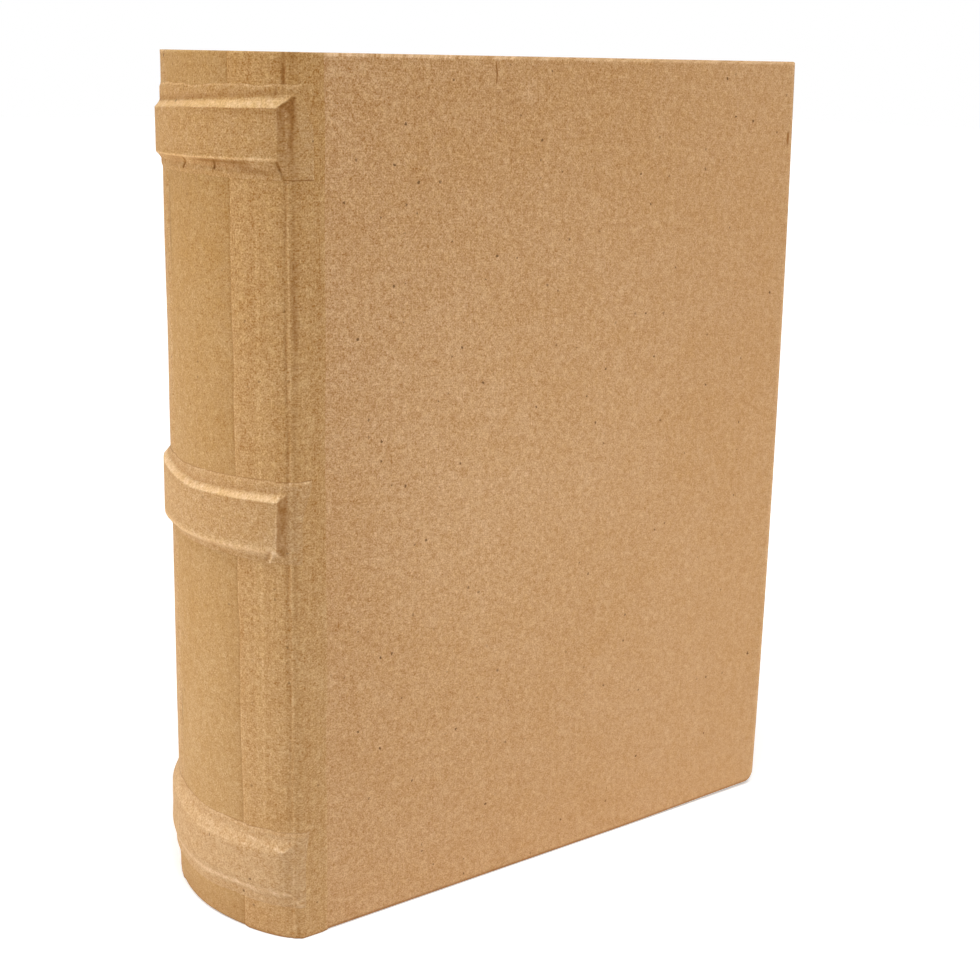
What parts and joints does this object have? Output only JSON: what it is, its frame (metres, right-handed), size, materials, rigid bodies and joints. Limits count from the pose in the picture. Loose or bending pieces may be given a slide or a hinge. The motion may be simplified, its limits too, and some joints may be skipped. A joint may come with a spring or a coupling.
{
  "type": "book box",
  "caption": "Standing book-shaped keepsake box in plain kraft paper, with a rounded spine, raised bands and a front cover that opens on a paper hinge.",
  "frame": {"origin": "middle of the bounding box's bottom, on the surface that the closed box stands on", "axes": "+Z from tail to head, -Y out of the front cover, -X out of the spine, +X towards the fore-edge"},
  "size_m": [0.222, 0.0756, 0.27],
  "materials": {
    "cover_kraft": "matte",
    "strip_kraft": "matte",
    "spine_kraft": "matte",
    "band_kraft": "matte",
    "tray_kraft": "matte",
    "greyboard": "matte"
  },
  "bodies": {
    "case": {"back_cover_board": "greyboard", "back_cover_paper": "cover_kraft", "back_hinge_strip": "strip_kraft", "spine_board": "greyboard", "spine_paper": "spine_kraft", "front_hinge_strip_on_spine": "strip_kraft", "tray_base": "greyboard", "tray_tail_wall": "greyboard", "tray_head_wall": "greyboard", "tray_fore_edge_wall": "greyboard", "tray_spine_wall": "greyboard", "tray_outer_paper": "tray_kraft", "tray_inner_paper": "tray_kraft", "tray_floor_paper": "tray_kraft", "raised_band_tail": "greyboard", "raised_band_middle": "greyboard", "raised_band_head": "greyboard", "band_paper_tail": "band_kraft", "band_paper_middle": "band_kraft", "band_paper_head": "band_kraft"},
    "front_cover": {"front_cover_board": "greyboard", "front_cover_paper": "cover_kraft", "front_cover_lining": "tray_kraft", "front_hinge_strip_on_cover": "strip_kraft", "band_tab_tail": "band_kraft", "band_tab_middle": "band_kraft", "band_tab_head": "band_kraft"}
  },
  "joints": [
    {"name": "front_cover_hinge", "type": "hinge", "parent": "case", "child": "front_cover", "pos_m": [-0.09542, -0.0378, 0.135], "axis": [0, 0, -1], "range_deg": [0, 178]}
  ]
}
